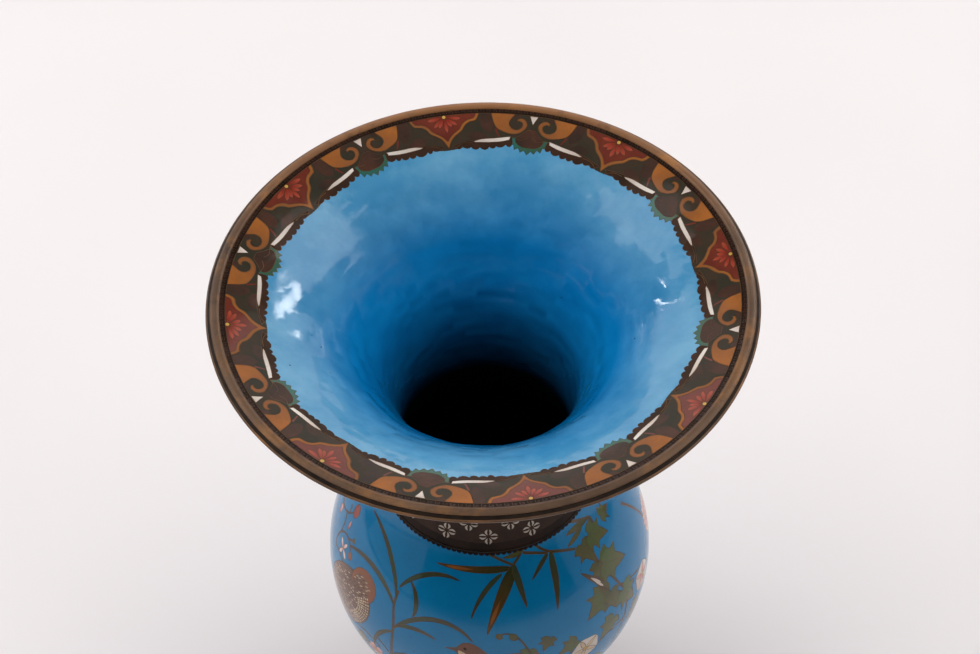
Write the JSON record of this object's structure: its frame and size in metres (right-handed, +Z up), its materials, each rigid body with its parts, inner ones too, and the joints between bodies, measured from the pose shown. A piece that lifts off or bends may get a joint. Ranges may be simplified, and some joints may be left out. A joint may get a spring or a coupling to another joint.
{
  "type": "cloisonne vase",
  "caption": "Globular vase with a trumpet mouth, a lappet border on the lip and a spreading foot, enamelled over copper with wire cells and bronze collars.",
  "frame": {"origin": "centre of the foot's resting face", "axes": "+Z up along the axis the vase is turned about"},
  "size_m": [0.19, 0.19, 0.29],
  "materials": {
    "patinated_bronze": "patinated brown with traces of gilding",
    "copper_core": "spun copper, covered by enamel",
    "cell_wire": "polished flush with the enamel",
    "turquoise_enamel": "polished glossy enamel",
    "counter_enamel": "fire-polished, undulating gloss",
    "dark_enamel": "polished glossy enamel",
    "black_enamel": "polished glossy enamel",
    "red_enamel": "polished glossy enamel",
    "ochre_enamel": "polished glossy enamel",
    "green_enamel": "polished glossy enamel",
    "white_enamel": "polished glossy enamel"
  },
  "bodies": {
    "root": {"base_counter_enamel": "counter_enamel", "body_core": "copper_core", "body_ground_enamel": "turquoise_enamel", "body_lining_enamel": "counter_enamel", "flare_ground_enamel": "turquoise_enamel", "foot_core": "copper_core", "foot_enamel": "black_enamel", "foot_lining_enamel": "counter_enamel", "foot_ring_collar": "patinated_bronze", "lip_border_enamel": "dark_enamel", "lip_fret_enamel": "black_enamel", "lip_lappet_1": "red_enamel", "lip_lappet_2": "red_enamel", "lip_lappet_3": "red_enamel", "lip_lappet_4": "red_enamel", "lip_lappet_5": "red_enamel", "lip_lappet_6": "red_enamel", "lip_lappet_7": "red_enamel", "lip_lappet_8": "red_enamel", "lip_scroll_left_1": "ochre_enamel", "lip_scroll_left_2": "ochre_enamel", "lip_scroll_left_3": "ochre_enamel", "lip_scroll_left_4": "ochre_enamel", "lip_scroll_left_5": "ochre_enamel", "lip_scroll_left_6": "ochre_enamel", "lip_scroll_left_7": "ochre_enamel", "lip_scroll_left_8": "ochre_enamel", "lip_scroll_right_1": "ochre_enamel", "lip_scroll_right_2": "ochre_enamel", "lip_scroll_right_3": "ochre_enamel", "lip_scroll_right_4": "ochre_enamel", "lip_scroll_right_5": "ochre_enamel", "lip_scroll_right_6": "ochre_enamel", "lip_scroll_right_7": "ochre_enamel", "lip_scroll_right_8": "ochre_enamel", "lower_border_enamel": "dark_enamel", "lower_border_wire": "cell_wire", "mouth_lining_enamel": "counter_enamel", "mouth_rim_collar": "patinated_bronze", "neck_floret_enamel": "black_enamel", "neck_upper_wire": "cell_wire", "rim_under_enamel": "black_enamel", "rim_under_wire": "cell_wire", "shoulder_wire": "cell_wire", "trumpet_core": "copper_core", "waist_wire": "cell_wire"}
  },
  "joints": []
}
